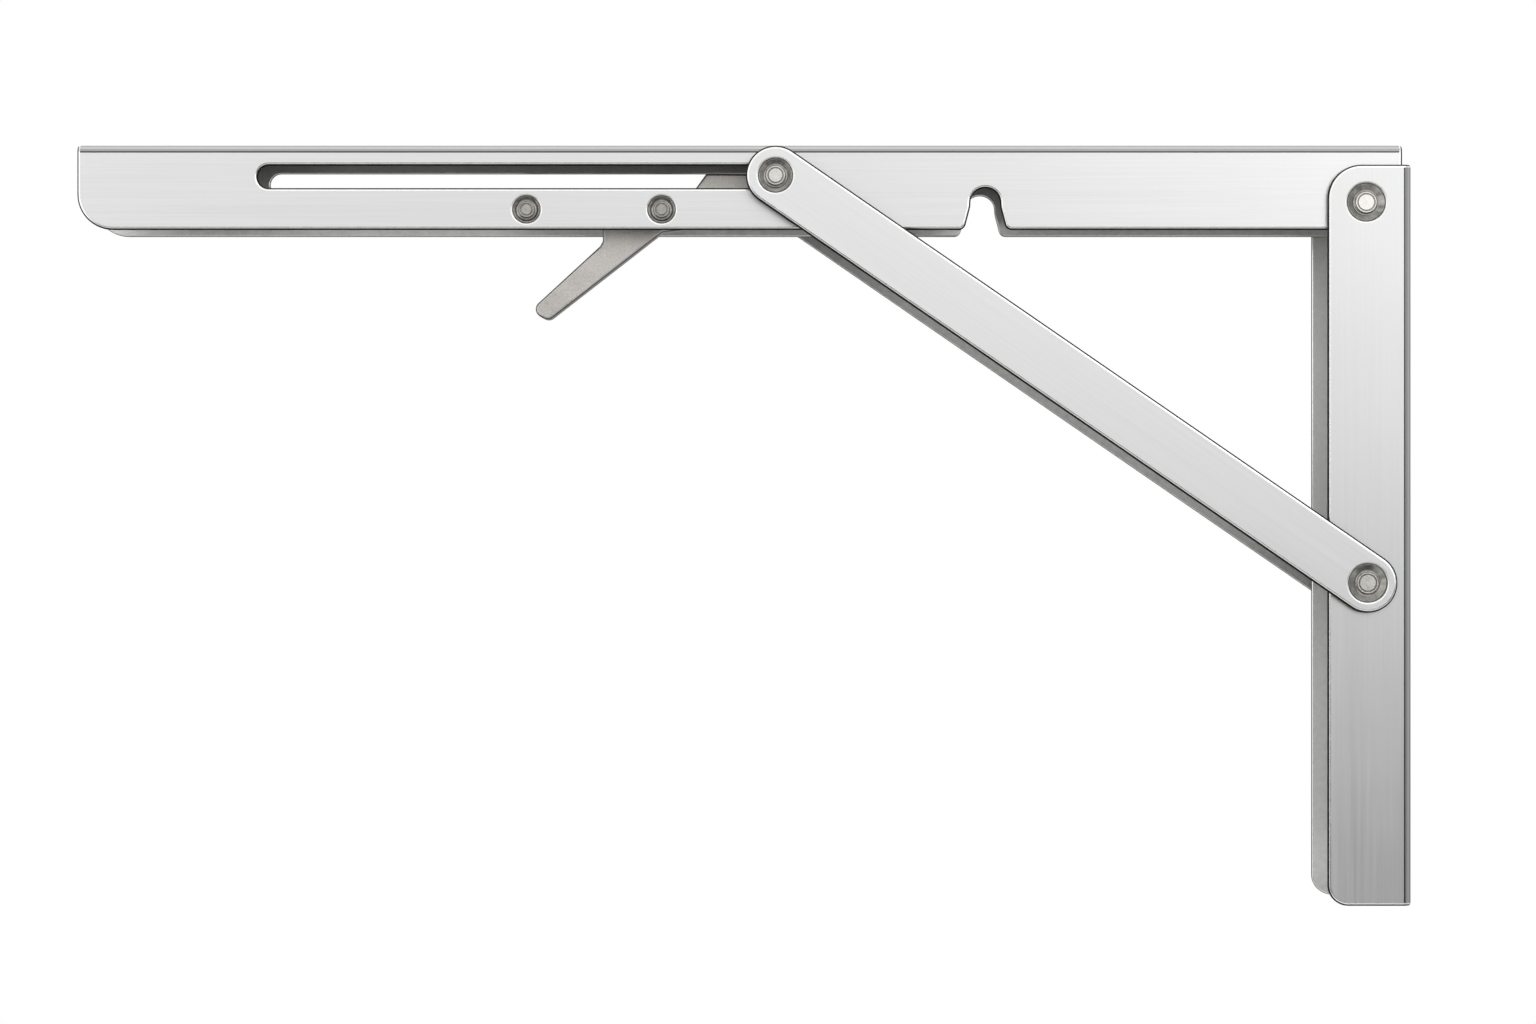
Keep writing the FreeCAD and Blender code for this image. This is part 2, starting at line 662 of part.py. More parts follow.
def build_spring():
    """Extension spring: a close coil, an eye round the anchor and an eye through the lug's hole."""
    wire = SIZE["wire"] / 2
    radius = SIZE["coil_radius"]
    start = V(-SIZE["anchor_back"], 0, 0)
    lug = V(-SIZE["lever_back"] - SIZE["lug_length"] / 2, 0,
            SIZE["lug_rise"] + SIZE["lug_height"] / 4)
    axis = lug.sub(start)
    span = axis.Length
    eye = SIZE["latch_pin_radius"] + SIZE["running_gap"] + wire
    coil_start = eye + radius
    coil_end = span - 2 * radius - SIZE["coil_room"]
    helix = Part.makeHelix(SIZE["coil_pitch"], coil_end - coil_start, radius)
    section = Part.Wire([Part.makeCircle(wire, V(radius, 0, 0), V(0, 1, 0))])
    coil = Part.Wire(helix).makePipeShell([section], True, True)
    coil.translate(V(0, 0, coil_start))
    last = 2 * math.pi * (coil_end - coil_start) / SIZE["coil_pitch"]
    links = [
        (V(0, 0, eye), V(radius, 0, coil_start)),
        (V(0, 0, span - 2 * radius), V(radius * math.cos(last), radius * math.sin(last), coil_end)),
    ]
    pieces = [
        Part.makeTorus(eye, wire, V(0, 0, 0), V(0, 1, 0)),
        Part.makeTorus(radius, wire, V(0, 0, span - radius), V(1, 0, 0)),
    ]
    for near, far in links:
        way = far.sub(near)
        pieces.append(Part.makeCylinder(wire, way.Length, near, way))
        pieces.append(Part.makeSphere(wire, far))
    shape = coil.fuse(pieces).removeSplitter()
    if len(shape.Solids) == 1:
        shape = shape.Solids[0]
    spring = doc.addObject("Part::Feature", "latch_spring")
    spring.Label = "latch_spring"
    spring.Shape = shape
    turn_to = FreeCAD.Rotation(V(0, 0, 1), axis)
    spring.Placement = FreeCAD.Placement(arm_place(SIZE["latch_reach"]) + start, turn_to)
    PARTS.append(spring)


def main():
    build_wall_channel()
    build_arm_channel()
    build_bar("strut_front", -1)
    build_bar("strut_rear", 1)
    build_pins()
    build_slide_pins()
    build_lever()
    build_spring()
    doc.recompute()
    for item in doc.Objects:
        if "Invalid" in item.State or "Error" in item.State:
            raise RuntimeError("%s failed: %s" % (item.Label, item.State))
    os.makedirs("parts", exist_ok=True)
    for item in PARTS:
        shape = item.Shape
        if shape.isNull() or not shape.isValid():
            raise RuntimeError("%s has no valid shape" % item.Label)
        shape.exportStep("parts/%s.step" % item.Label)
        print("%-20s solids %d volume %.1f" % (item.Label, len(shape.Solids), shape.Volume))


main()
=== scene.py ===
"""Looks for a folding drop leaf table bracket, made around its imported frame.

Metres, Z up, the wall at X = 0, the open arm along -X. The bracket's own lengths are written
in millimetres and turned to metres where a mesh is made; the camera and the lights are in
metres. Sheet pieces are worked out as a flat blank (along, across, level), rounded at every cut
edge and then folded; round pieces are profiles turned about an axis along Y.
"""
import math

import bpy
import numpy as np
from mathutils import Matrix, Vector
from mathutils.geometry import delaunay_2d_cdt


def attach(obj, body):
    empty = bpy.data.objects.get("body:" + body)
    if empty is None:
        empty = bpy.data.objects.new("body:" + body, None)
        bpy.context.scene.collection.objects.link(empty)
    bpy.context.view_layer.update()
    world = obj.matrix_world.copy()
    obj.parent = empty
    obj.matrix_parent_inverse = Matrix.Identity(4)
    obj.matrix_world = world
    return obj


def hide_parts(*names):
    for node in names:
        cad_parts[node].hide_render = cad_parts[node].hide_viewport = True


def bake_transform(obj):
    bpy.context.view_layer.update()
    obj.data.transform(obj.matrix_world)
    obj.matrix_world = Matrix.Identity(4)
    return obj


MM = 0.001

# The linkage: the hinge in the frame, and the other pins measured from it.
HINGE_X = -10.2
HINGE_Z = 84.0
FOOT_DROP = 86.0
SLIDE_REACH = 133.5
SLOT_RISE = 5.9
LATCH_REACH = 159.3
ANCHOR_REACH = 189.9
LATCH_DROP = 1.5

# Sheet, and the bend of both channels.
SHEET = 1.5
BEND = 1.7
BEND_LENGTH = BEND * math.pi / 2
BEND_STEPS = 10

# Arm, from the hinge: half its width, its top, its lower edge, its two ends.
ARM_HALF = 12.0
ARM_TOP = 13.1
ARM_EDGE = -6.1
ARM_END = -291.6
ARM_BUTT = 8.4
SLOT_LEFT = -248.22
SLOT_RIGHT = -133.25
SLOT_HALF = 2.55
ARM_BORE = 3.4
NOTCH_HALF = 3.35
NOTCH_MOUTH = 4.75
NOTCH_NECK = -0.75
NOTCH_TOP = 3.35
ARM_SCREWS = (-22, -92, -208, -278)

# Upright, from the hinge: half its width, its wall face, its free edge, its two ends.
WALL_HALF = 13.8
WALL_FACE = 10.2
WALL_EDGE = -8.7
WALL_TOP = -8.5
WALL_FOOT = 159.0
WALL_SCREWS = (20, 58, 110, 148)
SCREW_HOLE = 2.5

# Bars.
BAR_INSIDE = 14.1
BAR_THICKNESS = 2.0
BAR_OUTSIDE = BAR_INSIDE + BAR_THICKNESS
BAR_HALF = 6.7
BAR_BORE = 2.3
BAR_TILT = math.atan2(FOOT_DROP + SLOT_RISE, SLIDE_REACH)

# Pins: radius of each shank and of the recess round its head, and the recesses' depth.
HINGE_SHANK, HINGE_RECESS = 2.5, 4.3
FOOT_SHANK, FOOT_RECESS = 2.2, 4.35
SLIDE_SHANK, SLIDE_RECESS = 2.3, 3.85
SMALL_SHANK, SMALL_RECESS = 1.6, 3.1
RECESS = 1.0
# The slide pin's two halves run from here to here across the bracket.
SLIDE_IN, SLIDE_OUT = 3.3, 13.95
# A turned profile starts this near to its axis, and is closed there onto one point.
AXIS = 0.02

# Cut edges: a wide soft rim outside and a small round inside.
RIM_WIDTH = 0.65
RIM_DEPTH = 0.5
INNER_ROUND = 0.3

# How fine the curves are: arcs of an outline by angle, round pieces by their number of sides.
ARC_STEP = math.radians(7.5)
TURN_STEPS = 72

# Spring, from its wire's centre, and the hole of the lever's lug, from the latch pivot.
WIRE_RADIUS = 0.35
WIRE_SIDES = 14
EYE_RADIUS = 2.05
COIL_RADIUS = 1.7
COIL_PITCH = 0.8
LUG_HOLE = (-16.0, 1.05)

# Finish numbers of a sheet's faces: outside, cut edge (dark, painted shade), inside, polished rim
# (pale, painted highlight).
OUTSIDE, CUT, INSIDE, RIM = range(4)

# Above this height the arm's inside is darkened as painted shade, deep in the channel.
PAINTED_SHADE_HEIGHT = 80.8

# The stage: what the lights aim at, in metres.
OBJECT_MIDDLE = (-0.15, 0, 0.02)
WHITE = (1, 1, 1, 1)

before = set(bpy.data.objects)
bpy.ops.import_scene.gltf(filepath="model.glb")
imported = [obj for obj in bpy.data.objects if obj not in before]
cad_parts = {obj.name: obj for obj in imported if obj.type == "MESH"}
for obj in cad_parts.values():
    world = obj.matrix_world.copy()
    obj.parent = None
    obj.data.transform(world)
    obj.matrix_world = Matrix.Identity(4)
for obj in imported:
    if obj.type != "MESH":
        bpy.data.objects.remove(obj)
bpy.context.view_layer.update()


# Outlines and profiles

def rounded(corners, radii, closed=False):
    """Polyline whose corners are replaced by arcs of the given radii, tangent to both sides."""
    corners = np.asarray(corners, float)
    count = len(corners)
    runs = []
    for index in range(count):
        here = corners[index]
        radius = radii[index] if np.ndim(radii) else radii
        inner = closed or 0 < index < count - 1
        if not inner or radius <= 0:
            runs.append(here[None])
            continue
        back = corners[index - 1] - here
        ahead = corners[(index + 1) % count] - here
        back /= np.linalg.norm(back)
        ahead /= np.linalg.norm(ahead)
        half = math.acos(np.clip(back @ ahead, -1, 1)) / 2
        middle = (back + ahead) / np.linalg.norm(back + ahead)
        centre = here + middle * radius / math.sin(half)
        first = here + back * radius / math.tan(half) - centre
        last = here + ahead * radius / math.tan(half) - centre
        turn = math.atan2(first[0] * last[1] - first[1] * last[0], first @ last)
        angle = np.linspace(0, turn, max(3, int(abs(turn) / ARC_STEP) + 2))
        cosine, sine = np.cos(angle), np.sin(angle)
        runs.append(centre + np.column_stack((first[0] * cosine - first[1] * sine,
                                              first[0] * sine + first[1] * cosine)))
    return np.vstack(runs)


def circle(centre, radius, count=64):
    """Points centre + radius * (cos a, sin a), anticlockwise."""
    angle = np.linspace(0, 2 * math.pi, count, endpoint=False)
    return np.asarray(centre) + radius * np.column_stack((np.cos(angle), np.sin(angle)))


def stadium(left, right, up, radius):
    """Slot outline: radius * (cos a, sin a) about the right end from -90 to 90 degrees, then
    the same half circle turned round about the left end."""
    angle = np.linspace(-math.pi / 2, math.pi / 2, 33)
    end = radius * np.column_stack((np.cos(angle), np.sin(angle)))
    return np.vstack((end + (right, up), -end + (left, up)))


def facing(loop, anticlockwise):
    """The loop in the wanted sense, by the sign of its area, the sum of x y' - x' y."""
    following = np.roll(loop, -1, axis=0)
    area = np.sum(loop[:, 0] * following[:, 1] - loop[:, 1] * following[:, 0])
    return loop if (area > 0) == anticlockwise else loop[::-1]


def inward(loop):
    """Offsets by one to the left of a closed loop, where the metal is, mitred at its corners:
    the middle of the two sides' left normals over its cosine to either."""
    ahead = np.roll(loop, -1, axis=0) - loop
    ahead /= np.linalg.norm(ahead, axis=1)[:, None]
    left = np.column_stack((-ahead[:, 1], ahead[:, 0]))
    middle = left + np.roll(left, 1, axis=0)
    middle /= np.linalg.norm(middle, axis=1)[:, None]
    return middle / np.clip(np.sum(middle * left, axis=1), 0.5, 1)[:, None]


def profile_normals(profile, closed=False):
    """Normals of a profile: at each point the two steps that meet are added, so that the longer
    leads, and turned a quarter to the right."""
    ahead = np.roll(profile, -1, axis=0) - profile
    if not closed:
        ahead[-1] = 0
    total = ahead + np.roll(ahead, 1, axis=0)
    total /= np.linalg.norm(total, axis=1)[:, None]
    return np.column_stack((total[:, 1], -total[:, 0]))


def cut_edge(thickness, width=RIM_WIDTH, depth=RIM_DEPTH, inner=INNER_ROUND):
    """(offset, level) profile of a cut edge: a quarter ellipse outside, a quarter round inside."""
    angle = np.linspace(0, math.pi / 2, 7)
    top = np.column_stack((width * (1 - np.sin(angle)), thickness - depth * (1 - np.cos(angle))))
    low = np.column_stack((inner * (1 - np.cos(angle)), inner * (1 - np.sin(angle))))
    return np.vstack((top, low))


def sunk_edge(thickness, bore, recess):
    """(offset, level) profile of a bore with a round recess in the outer face."""
    wide = recess - bore
    floor = thickness - RECESS
    corners = [(wide + 1.0, thickness), (wide, thickness), (wide, floor), (0, floor), (0, 0),
               (1.0, 0)]
    return rounded(corners, [0, 0.45, 0.25, 0.12, 0.15, 0])[1:-1]


# Meshes

def blank(outer, holes, thickness, edge, fold, crease=()):
    """Closed sheet: faces between the loops at both levels, and each loop's edge profile.

    outer and holes are (loop, profile) pairs or loops; fold maps (along, across, level) to
    places and to the directions of along, across and level there. crease holds the across
    values of lines that the faces have to keep.
    """
    bands = []
    for position, item in enumerate([outer] + list(holes)):
        loop, profile = item if isinstance(item, tuple) else (item, edge)
        bands.append((facing(loop, position == 0), profile))
    places, normals, quads, tones, caps = [], [], [], [], []
    total = 0
    for loop, profile in bands:
        count, rows = len(loop), len(profile)
        offset = inward(loop)
        flat = loop[None] + profile[:, 0][:, None, None] * offset[None]
        level = np.broadcast_to(profile[:, 1][:, None], (rows, count))
        spot, along, across, up = fold(flat[..., 0], flat[..., 1], level)
        side = offset / np.linalg.norm(offset, axis=1)[:, None]
        lean = profile_normals(profile)
        outward = side[None, :, :1] * along + side[None, :, 1:] * across
        normal = lean[:, 0][:, None, None] * outward + lean[:, 1][:, None, None] * up
        places.append(spot.reshape(-1, 3))
        normals.append(normal.reshape(-1, 3))
        index = np.arange(rows * count).reshape(rows, count) + total
        following = np.roll(index, -1, axis=1)
        quads.append(np.stack((index[:-1], index[1:], following[1:], following[:-1]), -1)
                     .reshape(-1, 4))
        tones.append(np.repeat(edge_tones(profile, lean, thickness), count))
        caps.append((index[0], flat[0], index[-1], flat[-1]))
        total += rows * count
    places, normals = np.vstack(places), np.vstack(normals)
    triangles, tri_normals = [], []
    for ends, level, tone in ((0, thickness, OUTSIDE), (2, 0.0, INSIDE)):
        flat = np.vstack([cap[ends + 1] for cap in caps])
        index = np.concatenate([cap[ends] for cap in caps])
        found = fill(flat, [len(cap[ends]) for cap in caps], crease)
        _, _, _, up = fold(flat[:, 0], flat[:, 1], np.full(len(flat), level))
        if tone == INSIDE:
            found = found[:, ::-1]
            up = -up
        triangles.append(index[found])
        tones.append(np.full(len(found), tone, int))
        tri_normals.append(up[found].reshape(-1, 3))
    quads, triangles = np.vstack(quads), np.vstack(triangles)
    return (places, [quads, triangles], np.vstack([normals[quads].reshape(-1, 3)] + tri_normals),
            np.concatenate(tones))


def edge_tones(profile, lean, thickness):
    """Finish of each row of an edge, by how far its normal leans out of the cut (1 is flat).

    The rim of a recess was pressed and is polished all round, and takes the pale rim finish, a
    painted highlight: such a profile is more than a millimetre wide. Any other edge has a thin
    polished rim with the painted highlight at the top, and all have one below; the rest of the edge
    takes the dark cut finish, painted shade.
    """
    slope = (lean[:-1, 1] + lean[1:, 1]) / 2
    depth = thickness - (profile[:-1, 1] + profile[1:, 1]) / 2
    tones = np.full(len(slope), CUT)
    pressed = profile[:, 0].max() > 1.0
    least_slope, most_depth = (0.2, 0.5) if pressed else (0.9, 0.2)
    tones[(slope > least_slope) & (depth < most_depth)] = RIM
    tones[slope < -0.6] = RIM
    tones[(slope > 0.995) & (depth < 0.02)] = OUTSIDE
    return tones


def fill(flat, sizes, crease):
    """Triangles between closed loops by constrained Delaunay, holes left out by crossing count."""
    edges, start = [], 0
    for size in sizes:
        run = np.arange(size)
        edges += (np.column_stack((run, (run + 1) % size)) + start).tolist()
        start += size
    outer = flat[:sizes[0]]
    for across in crease:
        near = np.flatnonzero(np.abs(outer[:, 1] - across) < 1e-6)
        if len(near) >= 2:
            order = near[np.argsort(outer[near, 0])]
            edges.append([int(order[0]), int(order[-1])])
    _, _, faces, origin, _, _ = delaunay_2d_cdt(flat.tolist(), edges, [], 0, 1e-7)
    if not all(origin):
        raise RuntimeError("two outlines of a blank cross each other")
    back = np.array([first[0] for first in origin])
    faces = back[np.array(faces)]
    middle = flat[faces].mean(axis=1)
    crossings = np.zeros(len(middle), int)
    start = 0
    for size in sizes:
        loop = flat[start:start + size]
        far = np.roll(loop, -1, axis=0)
        above = (loop[:, 1] > middle[:, 1:]) != (far[:, 1] > middle[:, 1:])
        rise = np.where(far[:, 1] == loop[:, 1], 1.0, far[:, 1] - loop[:, 1])
        at = loop[:, 0] + (middle[:, 1:] - loop[:, 1]) / rise * (far[:, 0] - loop[:, 0])
        crossings += np.sum(above & (middle[:, :1] < at), axis=1)
        start += size
    faces = faces[crossings % 2 == 1]
    corner = flat[faces]
    one, two = corner[:, 1] - corner[:, 0], corner[:, 2] - corner[:, 0]
    turn = one[:, 0] * two[:, 1] - one[:, 1] * two[:, 0]
    return np.where((turn < 0)[:, None], faces[:, ::-1], faces)


def channel_fold(half, back, along_axis):
    """Fold of a U channel: web at 'back', bends of outer radius BEND, flanges to the sides.

    Past the web the sheet turns by a right angle over BEND_LENGTH, each level at its own radius
    from the bend's centre, and then runs straight down the flange.
    """
    web = half - BEND
    hollow = BEND - SHEET

    def fold(along, across, level):
        side = np.sign(across)
        past = np.abs(across) - web
        angle = np.clip(past / BEND_LENGTH, 0, 1) * math.pi / 2
        reach = np.where(past < 0, np.abs(across), web) + (hollow + level) * np.sin(angle)
        up = back - BEND + (hollow + level) * np.cos(angle) - np.clip(past - BEND_LENGTH, 0, None)
        zero = np.zeros_like(angle)
        across_y, across_up = np.cos(angle), -side * np.sin(angle)
        level_y, level_up = side * np.sin(angle), np.cos(angle)
        if along_axis == "X":
            spot = np.stack((along + HINGE_X, side * reach, up + HINGE_Z), -1)
            ways = (np.stack((zero + 1, zero, zero), -1), np.stack((zero, across_y, across_up), -1),
                    np.stack((zero, level_y, level_up), -1))
        else:
            spot = np.stack((up + HINGE_X, side * reach, HINGE_Z - along), -1)
            ways = (np.stack((zero, zero, zero - 1), -1), np.stack((across_up, across_y, zero), -1),
                    np.stack((level_up, level_y, zero), -1))
        return (spot,) + ways
    return fold


def channel_places(half, back):
    """Turns (along, height) on a flange into the blank's (along, across) on a given side."""
    start = half - BEND + BEND_LENGTH + back - BEND

    def place(points, side):
        points = np.asarray(points, float)
        return np.column_stack((points[:, 0], side * (start - points[:, 1])))
    return place


def channel_outline(edge, place, half):
    """Blank outline from one flange edge, given from low to high along, and its mirror."""
    web = half - BEND
    creases = web + BEND_LENGTH * np.arange(BEND_STEPS + 1) / BEND_STEPS
    creases = np.concatenate((-creases[::-1], creases))
    front, rear = place(edge, -1), place(edge, 1)[::-1]
    right = np.column_stack((np.full(len(creases), edge[-1][0]), creases))
    left = np.column_stack((np.full(len(creases), edge[0][0]), creases[::-1]))
    return np.vstack((front, right, rear, left)), creases


def plate_fold(origin, tilt, outside):
    """Flat plate in an XZ plane: along leans down by tilt, level runs out towards -Y."""
    cosine, sine = math.cos(tilt), math.sin(tilt)

    def fold(along, across, level):
        zero = np.zeros_like(along)
        spot = np.stack((origin[0] + along * cosine + across * sine, -outside + zero - level,
                         origin[1] - along * sine + across * cosine), -1)
        return (spot, np.stack((zero + cosine, zero, zero - sine), -1),
                np.stack((zero + sine, zero, zero + cosine), -1),
                np.stack((zero, zero - 1, zero), -1))
    return fold


def turned(profile, centre, closed=False, highlight_radii=()):
    """Profile of (radius, along Y) turned about the axis through centre = (x, z).

    A point is (x + radius * cos a, along, z + radius * sin a). bright holds (low, high) bounds on
    the radius: faces there that look along the axis are burnished and take the second, paler
    finish, a painted highlight.
    """
    profile = np.asarray(profile, float)
    count = TURN_STEPS
    angle = np.linspace(0, 2 * math.pi, count, endpoint=False)
    cosine, sine = np.cos(angle), np.sin(angle)
    radius, along = profile[:, :1], profile[:, 1:]
    spot = np.stack((centre[0] + radius * cosine, np.broadcast_to(along, (len(profile), count)),
                     centre[1] + radius * sine), -1)
    lean = profile_normals(profile, closed)
    normal = np.stack((lean[:, :1] * cosine, np.broadcast_to(lean[:, 1:], spot.shape[:2]),
                       lean[:, :1] * sine), -1)
    index = np.arange(len(profile) * count).reshape(len(profile), count)
    if closed:
        index = np.vstack((index, index[:1]))
    following = np.roll(index, -1, axis=1)
    quads = np.stack((index[:-1], index[1:], following[1:], following[:-1]), -1).reshape(-1, 4)
    flat_spot, flat_normal = spot.reshape(-1, 3), normal.reshape(-1, 3)
    middle = (profile[:-1, 0] + profile[1:, 0]) / 2
    level = np.abs(lean[:-1, 1] + lean[1:, 1]) > 1.6
    chosen = np.zeros(len(middle), bool)
    for least, most in highlight_radii:
        chosen |= level & (middle > least) & (middle < most)
    tones = np.repeat(chosen.astype(int), count)
    if closed:
        return flat_spot, [quads], flat_normal[quads].reshape(-1, 3), np.zeros(len(quads), int)
    # Both ends meet the axis: the first and last rings close onto one point each.
    first, last = len(flat_spot), len(flat_spot) + 1
    poles = np.array([[centre[0], profile[0, 1], centre[1]],
                      [centre[0], profile[-1, 1], centre[1]]])
    start = np.column_stack((np.full(count, first), index[0], np.roll(index[0], -1)))
    end = np.column_stack((np.full(count, last), np.roll(index[-1], -1), index[-1]))
    triangles = np.vstack((start, end))
    spots = np.vstack((flat_spot, poles))
    tri_normal = np.zeros((len(triangles), 3, 3))
    tri_normal[:count, :, 1] = lean[0, 1]
    tri_normal[count:, :, 1] = lean[-1, 1]
    normals = np.vstack((flat_normal[quads].reshape(-1, 3), tri_normal.reshape(-1, 3)))
    ends = np.full(len(triangles), int(bool(highlight_radii)))
    return spots, [quads, triangles], normals, np.concatenate((tones, ends))


def swept(path, radius, reference):
    """Round wire along a path: path + radius * (cos a * first + sin a * second), where first is
    the reference less its part along the path, and second is square to both."""
    count = WIRE_SIDES
    ahead = np.gradient(path, axis=0)
    ahead /= np.linalg.norm(ahead, axis=1)[:, None]
    first = reference - np.sum(reference * ahead, axis=1)[:, None] * ahead
    first /= np.linalg.norm(first, axis=1)[:, None]
    second = np.cross(ahead, first)
    angle = np.linspace(0, 2 * math.pi, count, endpoint=False)
    normal = (np.cos(angle)[None, :, None] * first[:, None]
              + np.sin(angle)[None, :, None] * second[:, None])
    spot = path[:, None] + radius * normal
    index = np.arange(len(path) * count).reshape(len(path), count)
    following = np.roll(index, -1, axis=1)
    quads = np.stack((index[:-1], following[:-1], following[1:], index[1:]), -1).reshape(-1, 4)
    first_pole, last_pole = index.size, index.size + 1
    start = np.column_stack((np.full(count, first_pole), following[0], index[0]))
    end = np.column_stack((np.full(count, last_pole), index[-1], following[-1]))
    triangles = np.vstack((start, end))
    spots = np.vstack((spot.reshape(-1, 3), path[:1], path[-1:]))
    sides = normal.reshape(-1, 3)[quads].reshape(-1, 3)
    caps = np.vstack((np.repeat(-ahead[:1], 3 * count, 0), np.repeat(ahead[-1:], 3 * count, 0)))
    return (spots, [quads, triangles], np.vstack((sides, caps)),
            np.zeros(len(quads) + len(triangles), int))


def mirrored(shape):
    """The same shape on the other side of the middle plane, turned the right way out."""
    spots, faces, normals, tones = shape
    flip = np.array([1, -1, 1])
    out, start = [], 0
    for group in faces:
        size = group.size
        run = normals[start:start + size].reshape(len(group), -1, 3)[:, ::-1] * flip
        out.append(run.reshape(-1, 3))
        start += size
    return spots * flip, [group[:, ::-1] for group in faces], np.vstack(out), tones


def piece(name, shapes, finishes, body, slot, *nodes):
    """One mesh from several closed shapes in millimetres, with the normals worked out for them.

    The finishes stand in the order of the shapes' finish numbers. body is None for a piece that is
    put on no body.
    """
    spots, loops, sizes, normals, tones, total = [], [], [], [], [], 0
    for spot, faces, normal, tone in shapes:
        spots.append(spot)
        for group in faces:
            loops.append((group + total).ravel())
            sizes.append(np.full(len(group), group.shape[1]))
        normals.append(normal)
        tones.append(tone)
        total += len(spot)
    spots, loops, sizes = np.vstack(spots) * MM, np.concatenate(loops), np.concatenate(sizes)
    normals = np.vstack(normals)
    mesh = bpy.data.meshes.new(name)
    mesh.vertices.add(len(spots))
    mesh.vertices.foreach_set("co", spots.astype(np.float32).ravel())
    mesh.loops.add(len(loops))
    mesh.loops.foreach_set("vertex_index", loops.astype(np.int32))
    mesh.polygons.add(len(sizes))
    mesh.polygons.foreach_set("loop_start", (np.cumsum(sizes) - sizes).astype(np.int32))
    mesh.polygons.foreach_set("loop_total", sizes.astype(np.int32))
    mesh.update(calc_edges=True)
    mesh.polygons.foreach_set("use_smooth", np.ones(len(sizes), bool))
    normals /= np.maximum(np.linalg.norm(normals, axis=1), 1e-9)[:, None]
    mesh.normals_split_custom_set(normals.tolist())
    for finish in finishes:
        mesh.materials.append(finish)
    mesh.polygons.foreach_set("material_index", np.concatenate(tones).astype(np.int32))
    made = bpy.data.objects.new(name, mesh)
    bpy.context.scene.collection.objects.link(made)
    if body:
        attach(made, body)
    if nodes:
        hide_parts(*nodes)
    return made


# Finishes

def linear(colour):
    """sRGB hex value to linear RGBA."""
    parts = np.array([int(colour[index:index + 2], 16) for index in (1, 3, 5)]) / 255
    parts = np.where(parts <= 0.04045, parts / 12.92, ((parts + 0.055) / 1.055) ** 2.4)
    return (*[float(part) for part in parts], 1.0)


def add(tree, kind, settings=None, links=None):
    """One node with its settings, and links from other nodes' outputs to its inputs.

    A setting is an input or a property, and "stops" are a colour ramp's (place, hex) pairs.
    """
    made = tree.nodes.new(kind)
    for key, value in (settings or {}).items():
        if key == "stops":
            elements = made.color_ramp.elements
            for element, (spot, colour) in zip(elements, value[:2]):
                element.position = spot
                element.color = linear(colour)
            for spot, colour in value[2:]:
                elements.new(spot).color = linear(colour)
        elif isinstance(key, int) or key in made.inputs:
            made.inputs[key].default_value = value
        else:
            setattr(made, key, value)
    for key, source in (links or {}).items():
        tree.links.new(source, made.inputs[key])
    return made


def per(size):
    """How many of a pattern of this size, in millimetres, go in a metre."""
    return 1 / (size * MM)


def new_material(name):
    """A material with its tree and its shader."""
    material = bpy.data.materials.new(name)
    material.use_nodes = True
    tree = material.node_tree
    return material, tree, tree.nodes["Principled BSDF"]


def surface(tree, shader, colour, rough, height, strength, distance):
    """Makes the shader a metal with this colour and roughness, and a bump from a height."""
    bump = add(tree, "ShaderNodeBump", {"Strength": strength, "Distance": distance},
               {"Height": height})
    for socket, source in (("Base Color", colour), ("Roughness", rough),
                           ("Normal", bump.outputs[0])):
        tree.links.new(source, shader.inputs[socket])
    shader.inputs["Metallic"].default_value = 1.0


